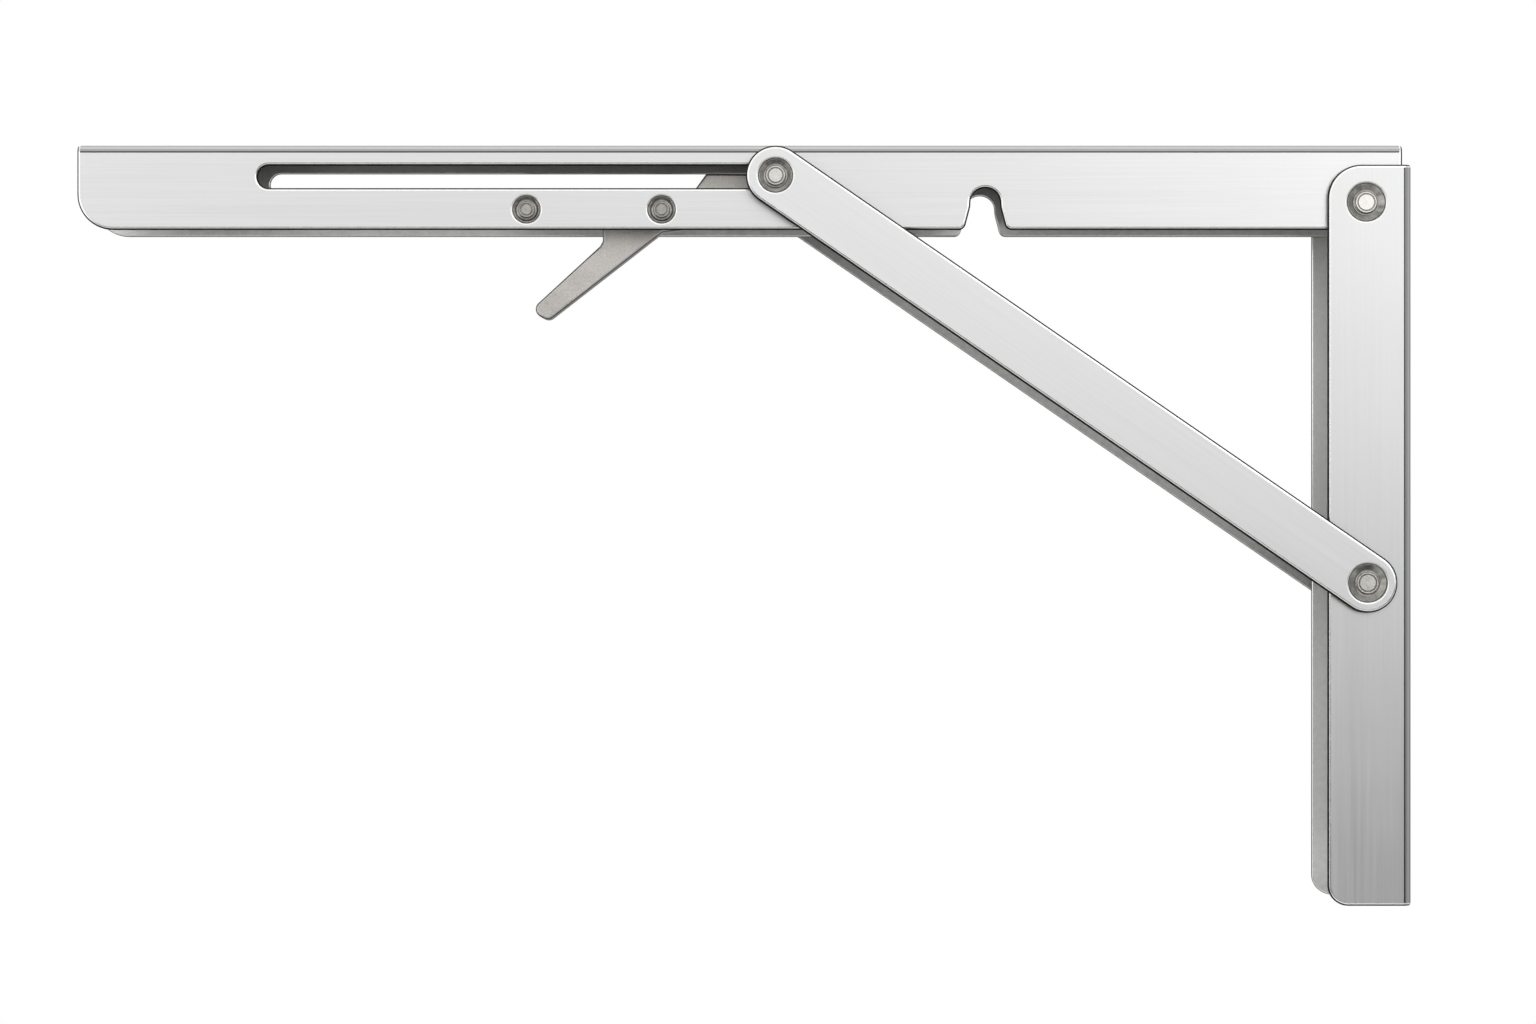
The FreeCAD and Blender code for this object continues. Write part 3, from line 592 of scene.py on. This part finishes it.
def brushed_stainless(name, turn, light, dark, bend=None):
    """304 stainless sheet, belt brushed along its length: a soft grey sheen under fine lines.

    The belt's scratches are about 0.05 mm apart, drawn at 0.5 mm so that they show, and they run
    out after about 40 mm. Bands 2.4 mm wide come from the belt's wear. bend = (axis, start, end) in
    metres is where the sheet is bent: there the colour is darkened as painted shade, with a dark
    line at the start, lighter across the bend and darker again before its end, in place of the
    bend's reflections.
    """
    material, tree, shader = new_material(name)
    place = add(tree, "ShaderNodeTexCoord").outputs["Object"]
    way = add(tree, "ShaderNodeMapping", {"Rotation": turn}, {"Vector": place}).outputs[0]
    lines = add(tree, "ShaderNodeMapping", {"Scale": (per(40), per(0.5), per(0.5))},
                {"Vector": way})
    scratches = add(tree, "ShaderNodeTexNoise", {"Scale": 1.0, "Detail": 2.0},
                    {"Vector": lines.outputs[0]})
    wide = add(tree, "ShaderNodeMapping", {"Scale": (per(167), per(2.38), per(2.38))},
               {"Vector": way})
    bands = add(tree, "ShaderNodeTexNoise", {"Scale": 1.0, "Detail": 2.0},
                {"Vector": wide.outputs[0]})
    part = add(tree, "ShaderNodeMath", {"operation": "MULTIPLY", 1: 0.35},
               {0: bands.outputs["Fac"]})
    brushed = add(tree, "ShaderNodeMath", {"operation": "MULTIPLY_ADD", 1: 0.65},
                  {0: scratches.outputs["Fac"], 2: part.outputs[0]}).outputs[0]
    colour = add(tree, "ShaderNodeValToRGB", {"stops": [(0.3, dark), (0.7, light)]},
                 {"Fac": brushed}).outputs[0]
    if bend:
        axis, start, end = bend
        along = add(tree, "ShaderNodeSeparateXYZ", links={0: place}).outputs[axis]
        past = add(tree, "ShaderNodeMapRange", {"From Min": start - 0.3 * MM, "From Max": end},
                   {"Value": along})
        # Painted shade: a dark line where the bend starts, then lighter and darker bands round it.
        stops = [(0.10, "#FFFFFF"), (0.14, "#4A4A4A"), (0.24, "#4A4A4A"), (0.31, "#ACACAC"),
                 (0.6, "#D8D8D8"), (0.8, "#BEBEBE"), (0.92, "#9A9A9A"), (0.99, "#FFFFFF")]
        shade = add(tree, "ShaderNodeValToRGB", {"stops": stops}, {"Fac": past.outputs[0]})
        colour = add(tree, "ShaderNodeMix", {"data_type": "RGBA", "blend_type": "MULTIPLY", 0: 1.0},
                     {6: colour, 7: shade.outputs[0]}).outputs[2]
    rough = add(tree, "ShaderNodeMapRange", {"From Min": 0.3, "From Max": 0.7, "To Min": 0.3,
                                             "To Max": 0.35}, {"Value": brushed})
    # Handling clouds about 26 mm across make the sheen a little softer or sharper.
    cloud = add(tree, "ShaderNodeTexNoise", {"Scale": per(26.3), "Detail": 2.0}, {"Vector": place})
    softer = add(tree, "ShaderNodeMath", {"operation": "MULTIPLY_ADD", 1: 0.05, 2: -0.025},
                 {0: cloud.outputs["Fac"]})
    together = add(tree, "ShaderNodeMath", {"operation": "ADD"},
                   {0: rough.outputs[0], 1: softer.outputs[0]})
    surface(tree, shader, colour, together.outputs[0], brushed, 0.02, 0.02 * MM)
    return material


def formed_steel(name, light, dark, rough, dents=0.25, painted_shade_above=None):
    """Cold formed or rolled steel: mottled where the die or the rolls pressed it.

    The mottling is about 1.25 mm across. Above the height painted_shade_above, in metres, the
    colour is darkened: painted shade, for the shade deep inside a channel.
    """
    material, tree, shader = new_material(name)
    place = add(tree, "ShaderNodeTexCoord").outputs["Object"]
    marks = add(tree, "ShaderNodeTexNoise", {"Scale": per(1.25), "Detail": 4.0, "Roughness": 0.6},
                {"Vector": place}).outputs["Fac"]
    colour = add(tree, "ShaderNodeValToRGB", {"stops": [(0.35, dark), (0.65, light)]},
                 {"Fac": marks}).outputs[0]
    if painted_shade_above:
        # Painted shade: the colour darkens above the given height.
        height = add(tree, "ShaderNodeSeparateXYZ", links={0: place}).outputs["Z"]
        past = add(tree, "ShaderNodeMapRange",
                   {"From Min": painted_shade_above - MM, "From Max": painted_shade_above + MM}, {"Value": height})
        skin = add(tree, "ShaderNodeValToRGB", {"stops": [(0.0, "#FFFFFF"), (1.0, "#B6B6B6")]},
                   {"Fac": past.outputs[0]})
        colour = add(tree, "ShaderNodeMix", {"data_type": "RGBA", "blend_type": "MULTIPLY", 0: 1.0},
                     {6: colour, 7: skin.outputs[0]}).outputs[2]
    spread = add(tree, "ShaderNodeMapRange", {"From Min": 0.3, "From Max": 0.7,
                                              "To Min": rough - 0.03, "To Max": rough + 0.04},
                 {"Value": marks})
    surface(tree, shader, colour, spread.outputs[0], marks, dents, 0.04 * MM)
    return material


def blasted_casting(name, dark, light):
    """Bead blasted cast steel: dull warm grey with a fine even grain.

    The blast grain is 0.15 mm, drawn at 0.5 mm so that it shows, over clouds of about 6 mm.
    """
    material, tree, shader = new_material(name)
    place = add(tree, "ShaderNodeTexCoord").outputs["Object"]
    grain = add(tree, "ShaderNodeTexNoise", {"Scale": per(0.5), "Detail": 3.0, "Roughness": 0.7},
                {"Vector": place})
    cloud = add(tree, "ShaderNodeTexNoise", {"Scale": per(6.25), "Detail": 2.0}, {"Vector": place})
    part = add(tree, "ShaderNodeMath", {"operation": "MULTIPLY", 1: 0.4}, {0: cloud.outputs["Fac"]})
    skin = add(tree, "ShaderNodeMath", {"operation": "MULTIPLY_ADD", 1: 0.6},
               {0: grain.outputs["Fac"], 2: part.outputs[0]}).outputs[0]
    colour = add(tree, "ShaderNodeValToRGB", {"stops": [(0.35, dark), (0.65, light)]},
                 {"Fac": skin}).outputs[0]
    rough = add(tree, "ShaderNodeMapRange", {"From Min": 0.3, "From Max": 0.7, "To Min": 0.36,
                                             "To Max": 0.5}, {"Value": skin})
    surface(tree, shader, colour, rough.outputs[0], skin, 0.35, 0.05 * MM)
    return material


# Brushed outsides: the arm and the bars are a little lighter than the upright. The arm and the
# upright are darkened along their bends, painted shade.
arm_finish = brushed_stainless("stainless_brushed_arm", (0, 0, 0), "#DEDFDE", "#D5D6D5",
                               ("Z", (HINGE_Z + ARM_TOP - BEND) * MM, (HINGE_Z + ARM_TOP) * MM))
wall_finish = brushed_stainless("stainless_brushed_upright", (0, math.radians(90), 0),
                                "#D7D8D7", "#D1D2D1", ("X", -BEND * MM, 0.0))
bar_finish = brushed_stainless("stainless_brushed_bar", (0, -BAR_TILT, 0), "#E0E1E0", "#DADBDA")
# Mill rolled insides: flatter than the brushing. The bars' inside is greyer and the arm's inside
# darker high up, both painted shade; the arm's inside is paler low down, a painted highlight on its
# lit lower strip.
inner_finish = formed_steel("stainless_mill_face", "#EAEAE8", "#E2E2E0", 0.5, 0.05)
# Painted shade: the bars' inside is greyer, for the shade it lies in.
bar_inner_shaded_finish = formed_steel("stainless_mill_face_bar_painted_shade", "#BCBCBA", "#B0B0AE", 0.5, 0.05)
arm_inner_shaded_finish = formed_steel("stainless_mill_face_arm_painted_shade", "#FAFAF8", "#F0F0EE", 0.42, 0.05,
                                PAINTED_SHADE_HEIGHT * MM)
# Sheared edge: torn grain, painted dark with a dark reflection as painted shade, so that it reads
# as a dark outline and stays dark at a glancing look.
edge_shade_finish = formed_steel("stainless_sheared_edge_painted_shade", "#4A4A4A", "#3C3C3C", 0.42, 0.0)
edge_shade_shader = edge_shade_finish.node_tree.nodes["Principled BSDF"]
edge_shade_shader.inputs["Specular Tint"].default_value = linear("#303030")
# Deburred rim: a thin smooth line, painted pale as a highlight along the dark edge.
rim_highlight_finish = formed_steel("stainless_deburred_rim_painted_highlight", "#ECECEA", "#E6E6E4", 0.22, 0.0)
# Cold headed rivets: smooth and dark in the dish, partly painted shade for the recess round the
# head; pale and soft where the punch pressed, on the faces that look out, partly painted highlight.
rivet_shaded_finish = formed_steel("steel_formed_rivet_painted_shade", "#9C9A95", "#7E7C78", 0.14, 0.08)
burnished_highlight_finish = formed_steel("steel_burnished_rivet_painted_highlight", "#D6D4CF", "#C6C4BF", 0.24, 0.04)
small_rivet_highlight_finish = formed_steel("steel_small_rivet_painted_highlight", "#B0AEA9", "#9A9893", 0.3, 0.06)
# Turned sleeves and drawn wire inside the bracket: plain mid grey, the wire the darker one.
sleeve_finish = formed_steel("steel_turned_sleeve", "#A6A6A6", "#8E8E8E", 0.38)
wire_finish = formed_steel("steel_spring_wire", "#8C8C8C", "#6E6E6E", 0.32)
# The lever: pale blasted faces, with painted shade round its edge, a darker colour that draws its
# outline.
cast_finish = blasted_casting("steel_blasted_casting", "#AFACA8", "#D2CFCA")
cast_edge_shade_finish = blasted_casting("steel_cast_edge_painted_shade", "#6F6C69", "#908D8A")


# Arm channel: long slots, a notch for the foot pin, bores and screw holes

def arm_channel():
    """Arm blank folded along its two bends."""
    place = channel_places(ARM_HALF, ARM_TOP)
    notch = -FOOT_DROP
    web = ARM_TOP - BEND
    edge = rounded([(ARM_END, web), (ARM_END, ARM_EDGE), (notch - NOTCH_MOUTH, ARM_EDGE),
                    (notch - NOTCH_HALF, NOTCH_NECK), (notch - NOTCH_HALF, NOTCH_TOP),
                    (notch + NOTCH_HALF, NOTCH_TOP), (notch + NOTCH_HALF, NOTCH_NECK),
                    (notch + NOTCH_MOUTH, ARM_EDGE), (ARM_BUTT, ARM_EDGE), (ARM_BUTT, web)],
                   [0, 8.0, 1.6, 5.0, 3.3, 3.3, 5.0, 1.6, 6.1, 0])
    outline, creases = channel_outline(edge[1:-1], place, ARM_HALF)
    small_bore = sunk_edge(SHEET, SMALL_SHANK, SMALL_RECESS)
    holes = []
    for side in (-1, 1):
        holes.append(place(stadium(SLOT_LEFT, SLOT_RIGHT, SLOT_RISE, SLOT_HALF), side))
        holes.append(place(circle((0, 0), ARM_BORE), side))
        for reach in (LATCH_REACH, ANCHOR_REACH):
            holes.append((place(circle((-reach, -LATCH_DROP), SMALL_SHANK), side), small_bore))
    holes += [circle((along, 0), SCREW_HOLE) for along in ARM_SCREWS]
    fold = channel_fold(ARM_HALF, ARM_TOP, "X")
    return blank(outline, holes, SHEET, cut_edge(SHEET), fold, creases)


def wall_channel():
    """Upright blank: along runs down from the ear, height runs out from the wall face."""
    place = channel_places(WALL_HALF, WALL_FACE)
    web = WALL_FACE - BEND
    edge = rounded([(WALL_TOP, web), (WALL_TOP, WALL_EDGE), (WALL_FOOT, WALL_EDGE),
                    (WALL_FOOT, web)], [0, 7.6, 4.6, 0])
    outline, creases = channel_outline(edge[1:-1], place, WALL_HALF)
    hinge_bore = sunk_edge(SHEET, HINGE_SHANK, HINGE_RECESS)
    holes = []
    for side in (-1, 1):
        holes.append((place(circle((0, 0), HINGE_SHANK), side), hinge_bore))
        holes.append(place(circle((FOOT_DROP, 0), FOOT_SHANK), side))
    holes += [circle((along, 0), SCREW_HOLE) for along in WALL_SCREWS]
    fold = channel_fold(WALL_HALF, WALL_FACE, "Z")
    return blank(outline, holes, SHEET, cut_edge(SHEET), fold, creases)


def strut_bar():
    """Front bar: a flat stadium with a recessed bore at each end."""
    length = math.hypot(FOOT_DROP + SLOT_RISE, SLIDE_REACH)
    holes = [(circle((along, 0), BAR_BORE), sunk_edge(BAR_THICKNESS, BAR_BORE, recess))
             for along, recess in ((0, SLIDE_RECESS), (length, FOOT_RECESS))]
    fold = plate_fold((HINGE_X - SLIDE_REACH, HINGE_Z + SLOT_RISE), BAR_TILT, BAR_INSIDE)
    return blank(stadium(0, length, 0, BAR_HALF), holes, BAR_THICKNESS,
                 cut_edge(BAR_THICKNESS, 0.7, 0.55, 0.2), fold)


piece("arm_sheet", [arm_channel()], (arm_finish, edge_shade_finish, arm_inner_shaded_finish, rim_highlight_finish),
      "arm", "brushed_channel", "arm_channel")
piece("wall_sheet", [wall_channel()], (wall_finish, edge_shade_finish, inner_finish, rim_highlight_finish),
      "wall_side", "brushed_channel", "wall_channel")
bar = strut_bar()
for ending, shape in (("front", bar), ("rear", mirrored(bar))):
    piece("bar_" + ending, [shape], (bar_finish, edge_shade_finish, bar_inner_shaded_finish, rim_highlight_finish),
          "strut", "brushed_bar", "strut_" + ending)


# Rivets, sleeves, bushes and washers

def ring_radius(recess):
    """Radius of the raised ring that the punch leaves on a rivet's head."""
    return recess / 2 + 0.2


def head(recess, floor):
    """Headed end from its rim to the axis: a dished cone, a raised ring, a flat centre."""
    ring = ring_radius(recess)
    return rounded([(recess - 0.06, floor), (recess - 0.06, floor + 0.8), (ring + 0.4, floor + 0.1),
                    (ring, floor + 0.35), (ring, floor + 0.75), (ring - 0.28, floor + 0.75),
                    (ring - 0.3, floor + 0.35), (ring - 0.55, floor + 0.35),
                    (ring - 0.58, floor + 0.72), (AXIS, floor + 0.72)],
                   [0, 0.12, 0.4, 0.1, 0.08, 0.06, 0.06, 0.06, 0.08, 0])


def through_rivet(shank, recess, floor, centre):
    """Rivet with a head in the recess at each end, turned from the front centre to the rear."""
    rear = np.vstack(([(shank, floor - 0.05), (shank + 0.05, floor)], head(recess, floor)))
    front = rear[::-1] * (1, -1)
    return turned(np.vstack((front, rear)), centre, highlight_radii=raised(recess))


def raised(recess):
    """Radius bounds of a head's ring and of its centre."""
    ring = ring_radius(recess)
    return ((ring - 0.29, ring + 0.01), (0, ring - 0.56))


def tube(inner, outer, start, end, centre):
    """Sleeve or washer with softened edges."""
    corners = [(inner, start), (outer, start), (outer, end), (inner, end)]
    return turned(rounded(corners, 0.12, True), centre, closed=True)


hinge = (HINGE_X, HINGE_Z)
foot = (HINGE_X, HINGE_Z - FOOT_DROP)
slide = (HINGE_X - SLIDE_REACH, HINGE_Z + SLOT_RISE)
latch = (HINGE_X - LATCH_REACH, HINGE_Z - LATCH_DROP)
anchor = (HINGE_X - ANCHOR_REACH, HINGE_Z - LATCH_DROP)

# Each rivet: its shank, its recess, how far out the face is that it is headed in.
for name, shank, recess, face, centre, body, polish_and_highlight in (
        ("hinge_pin", HINGE_SHANK, HINGE_RECESS, WALL_HALF, hinge, "wall_side", burnished_highlight_finish),
        ("foot_pin", FOOT_SHANK, FOOT_RECESS, BAR_OUTSIDE, foot, "wall_side", burnished_highlight_finish),
        ("latch_pivot", SMALL_SHANK, SMALL_RECESS, ARM_HALF, latch, "arm", small_rivet_highlight_finish),
        ("spring_anchor", SMALL_SHANK, SMALL_RECESS, ARM_HALF, anchor, "arm", small_rivet_highlight_finish)):
    piece(name + "_rivet", [through_rivet(shank, recess, face - RECESS, centre)],
          (rivet_shaded_finish, polish_and_highlight), body, "rivet", name)

# Each sleeve: its inner and outer radius, and where it starts and ends across the bracket.
for name, inner, outer, start, end, centre, body in (
        ("hinge_sleeve", 2.55, 3.35, -12.3, 12.3, hinge, "wall_side"),
        ("foot_sleeve", 2.25, 3.05, -12.3, 12.3, foot, "wall_side"),
        ("latch_bush_rear", 1.65, 2.45, 3.3, 10.5, latch, "arm"),
        ("latch_bush_front", 1.65, 2.45, -10.5, -3.3, latch, "arm"),
        ("anchor_bush_rear", 1.65, 2.45, 0.8, 10.5, anchor, "arm"),
        ("anchor_bush_front", 1.65, 2.45, -10.5, -0.8, anchor, "arm"),
        ("slide_washer_rear", SLIDE_SHANK, 5.0, 12.15, SLIDE_OUT, slide, "slider"),
        ("slide_washer_front", SLIDE_SHANK, 5.0, -SLIDE_OUT, -12.15, slide, "slider")):
    piece(name + "_turned", [tube(inner, outer, start, end, centre)], (sleeve_finish,), body,
          "sleeve", name)

slide_end = turned(rounded([(AXIS, SLIDE_IN), (SLIDE_SHANK, SLIDE_IN), (SLIDE_SHANK, SLIDE_OUT),
                            (AXIS, SLIDE_OUT)], [0, 0.2, 0.2, 0]), slide)
floor = BAR_OUTSIDE - RECESS
stub = [(AXIS, BAR_INSIDE), (SLIDE_SHANK, BAR_INSIDE), (SLIDE_SHANK, floor)]
slide_head = turned(np.vstack((stub, head(SLIDE_RECESS, floor))), slide,
                    highlight_radii=raised(SLIDE_RECESS))
for ending, pin, cap in (("front", mirrored(slide_end), mirrored(slide_head)),
                         ("rear", slide_end, slide_head)):
    piece("slide_shank_" + ending, [pin], (sleeve_finish,), "slider", "sleeve",
          "slide_pin_" + ending)
    piece("slide_head_" + ending, [cap], (rivet_shaded_finish, burnished_highlight_finish), "strut", "rivet",
          "slide_rivet_" + ending)


# Latch lever and its spring

def lever():
    """Cast lever: a thick plate with softened edges, and a thin lug for the spring."""
    corners = [(7.0, 4.7), (10.0, 8.9), (23.1, 8.9), (23.1, 4.6), (13.2, -0.2), (4.1, -4.1),
               (0, -4.5), (-26.1, -24.8), (-30.4, -22.5), (-14.3, -7.7), (-13.7, -6.6),
               (-13.7, 3.2), (3.8, 3.2)]
    radii = [1.5, 0.7, 0.7, 0.7, 2.0, 2.0, 2.0, 1.9, 1.9, 1.0, 0.7, 0.7, 1.5]
    thick, thin = 6.0, 2.0
    body = blank(rounded(corners, radii, True), [circle((0, 0), 1.65)], thick,
                 cut_edge(thick, 0.55, 0.55, 0.55), plate_fold(latch, 0, -thick / 2))
    lug_corners = [(-11.7, -0.9), (-11.7, 3.0), (-18.3, 3.0), (-18.3, -0.9)]
    lug = blank(rounded(lug_corners, [0.3, 0.3, 1.2, 1.2], True), [circle(LUG_HOLE, 1.1)], thin,
                cut_edge(thin, 0.25, 0.25, 0.25), plate_fold(latch, 0, -thin / 2))
    return [body, lug]


def spring():
    """Extension spring: an eye round the anchor, a close coil, an eye through the lug.

    The coil is COIL_RADIUS * (cos a, sin a) across and COIL_PITCH forward for each turn of a.
    """
    start = np.array([anchor[0], 0, anchor[1]])
    finish = np.array([latch[0] + LUG_HOLE[0], 0, latch[1] + LUG_HOLE[1]])
    span = np.linalg.norm(finish - start)
    along = (finish - start) / span
    side = np.array([0, 1.0, 0])
    up = np.cross(along, side)

    def spots(across_up, across_side, reach):
        return (start + across_up[:, None] * up + across_side[:, None] * side
                + reach[:, None] * along)

    angle = np.linspace(0.25, 2 * math.pi + 0.05, 60)
    zero = np.zeros(60)
    first = spots(EYE_RADIUS * np.sin(angle), zero, EYE_RADIUS * np.cos(angle))
    begin, stop = EYE_RADIUS + COIL_RADIUS, span - 2 * COIL_RADIUS - 0.6
    turns = (stop - begin) / COIL_PITCH
    angle = np.linspace(0, 2 * math.pi * turns, int(turns * 28))
    middle = spots(COIL_RADIUS * np.cos(angle), COIL_RADIUS * np.sin(angle),
                   begin + angle / (2 * math.pi) * COIL_PITCH)
    angle = np.linspace(0, 2 * math.pi, 50)
    last = spots(np.zeros(50), COIL_RADIUS * np.sin(angle),
                 span - COIL_RADIUS - COIL_RADIUS * np.cos(angle))
    links = [np.linspace(first[0], middle[0], 8), np.linspace(middle[-1], last[0], 8)]
    return [swept(first, WIRE_RADIUS, side), swept(middle, WIRE_RADIUS, along),
            swept(last, WIRE_RADIUS, up), swept(links[0], WIRE_RADIUS, side),
            swept(links[1], WIRE_RADIUS, side)]


piece("lever_casting", lever(), (cast_finish, cast_edge_shade_finish, cast_finish, cast_finish),
      "lever", "cast_lever", "latch_lever")
# The coil runs between its two eyes, on no body, with its placing baked into its mesh.
coils = piece("spring_wire", spring(), (wire_finish,), None, "spring", "latch_spring")
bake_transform(coils)


# Camera, floor and light

# The photo's view: level and square to the bracket, at the height of its middle.
camera_data = bpy.data.cameras.new("camera")
camera_data.lens = 90.4
camera_data.sensor_width = 36.0
camera = bpy.data.objects.new("camera", camera_data)
camera.location = (-0.1454, -0.885, 0.0140)
camera.rotation_euler = (math.radians(90), 0, 0)
bpy.context.scene.collection.objects.link(camera)
bpy.context.scene.camera = camera
bpy.context.scene.view_settings.view_transform = "Standard"


def floor_disc(radius, level):
    """Flat round floor of pale paper, centre + radius * (cos a, sin a) at one level."""
    ring = circle((OBJECT_MIDDLE[0], 0), radius, 96)
    mesh = bpy.data.meshes.new("floor")
    mesh.from_pydata(np.column_stack((ring, np.full(len(ring), level))).tolist(), [],
                     [list(range(len(ring)))])
    made = bpy.data.objects.new("floor", mesh)
    bpy.context.scene.collection.objects.link(made)
    material, _, shader = new_material("floor_paper")
    for socket, value in (("Base Color", (0.9, 0.9, 0.9, 1)), ("Roughness", 0.9),
                          ("Emission Color", WHITE), ("Emission Strength", 0.95)):
        shader.inputs[socket].default_value = value
    mesh.materials.append(material)
    made.visible_glossy = False
    made.visible_shadow = False


floor_disc(6.0, -1.5)


def panel(name, place, width, height, radiance):
    """Soft rectangular light that faces the object's middle."""
    data = bpy.data.lights.new(name, "AREA")
    data.shape = "RECTANGLE"
    data.size = width
    data.size_y = height
    data.energy = radiance * math.pi * width * height
    made = bpy.data.objects.new(name, data)
    made.location = place
    made.rotation_mode = "QUATERNION"
    made.rotation_quaternion = (Vector(OBJECT_MIDDLE) - Vector(place)).to_track_quat("-Z", "Y")
    bpy.context.scene.collection.objects.link(made)


# Each panel: its place, width and height in metres, and its radiance.
for name, place, width, height, radiance in (
        ("front_panel", (-0.1, -1.65, 0.58), 2.4, 1.3, 0.62),
        ("key_panel", (0.6, -1.55, 0.54), 0.9, 1.1, 0.9),
        ("low_panel", (-0.15, -1.25, -0.95), 1.6, 0.5, 0.5),
        ("rear_panel", (-0.1, 1.6, 0.72), 2.4, 1.7, 0.55),
        ("top_panel", (-0.15, 0.1, 1.3), 1.2, 1.2, 0.6),
        ("left_panel", (-1.6, 0, 0.4), 1.0, 1.0, 0.45),
        ("left_strip", (-1.15, -1.25, 0.05), 0.8, 0.9, 0.9),
        ("right_panel", (1.4, 0, 0.4), 1.0, 1.0, 0.45)):
    panel(name, place, width, height, radiance)

# The room's own light by direction: bright walls, a pale floor further out and a darker one
# close by, and a dim table in front below eye level, which darkens the upright downwards. The
# camera sees plain white.
world = bpy.data.worlds.new("studio")
world.use_nodes = True
bpy.context.scene.world = world
tree = world.node_tree
tree.nodes.clear()
way = add(tree, "ShaderNodeTexCoord").outputs["Generated"]
east, north, up = add(tree, "ShaderNodeSeparateXYZ", links={0: way}).outputs
level = add(tree, "ShaderNodeMapRange", {"From Min": -1.0}, {"Value": up})
stops = [(0.19, "#8C8C8C"), (0.25, "#E8E8E8"), (0.34, "#E8E8E8"), (0.39, "#C6C6C6"),
         (0.5, "#C9C9C9"), (0.75, "#DEDEDE"), (0.9, "#FFFFFF")]
glow = add(tree, "ShaderNodeValToRGB", {"stops": stops}, {"Fac": level.outputs[0]}).outputs[0]
aside = add(tree, "ShaderNodeMath", {"operation": "SUBTRACT", 1: 0.08}, {0: east})
aside = add(tree, "ShaderNodeMath", {"operation": "ABSOLUTE"}, {0: aside.outputs[0]})
dim = add(tree, "ShaderNodeMapRange", {"From Min": 0.55, "From Max": 0.38},
          {"Value": aside.outputs[0]}).outputs[0]
for source, none, full in ((north, -0.3, -0.6), (up, 0.02, -0.05), (up, -0.36, -0.24)):
    part = add(tree, "ShaderNodeMapRange", {"From Min": none, "From Max": full}, {"Value": source})
    dim = add(tree, "ShaderNodeMath", {"operation": "MULTIPLY"},
              {0: dim, 1: part.outputs[0]}).outputs[0]
kept = add(tree, "ShaderNodeMapRange", {"To Min": 1.0, "To Max": 0.0}, {"Value": dim})
glow = add(tree, "ShaderNodeMath", {"operation": "MULTIPLY"}, {0: glow, 1: kept.outputs[0]})
lit = add(tree, "ShaderNodeBackground", {"Color": WHITE}, {"Strength": glow.outputs[0]})
seen = add(tree, "ShaderNodeBackground", {"Color": WHITE, "Strength": 1.0})
rays = add(tree, "ShaderNodeLightPath")
both = add(tree, "ShaderNodeMixShader", links={0: rays.outputs["Is Camera Ray"],
                                               1: lit.outputs[0], 2: seen.outputs[0]})
add(tree, "ShaderNodeOutputWorld", links={"Surface": both.outputs[0]})
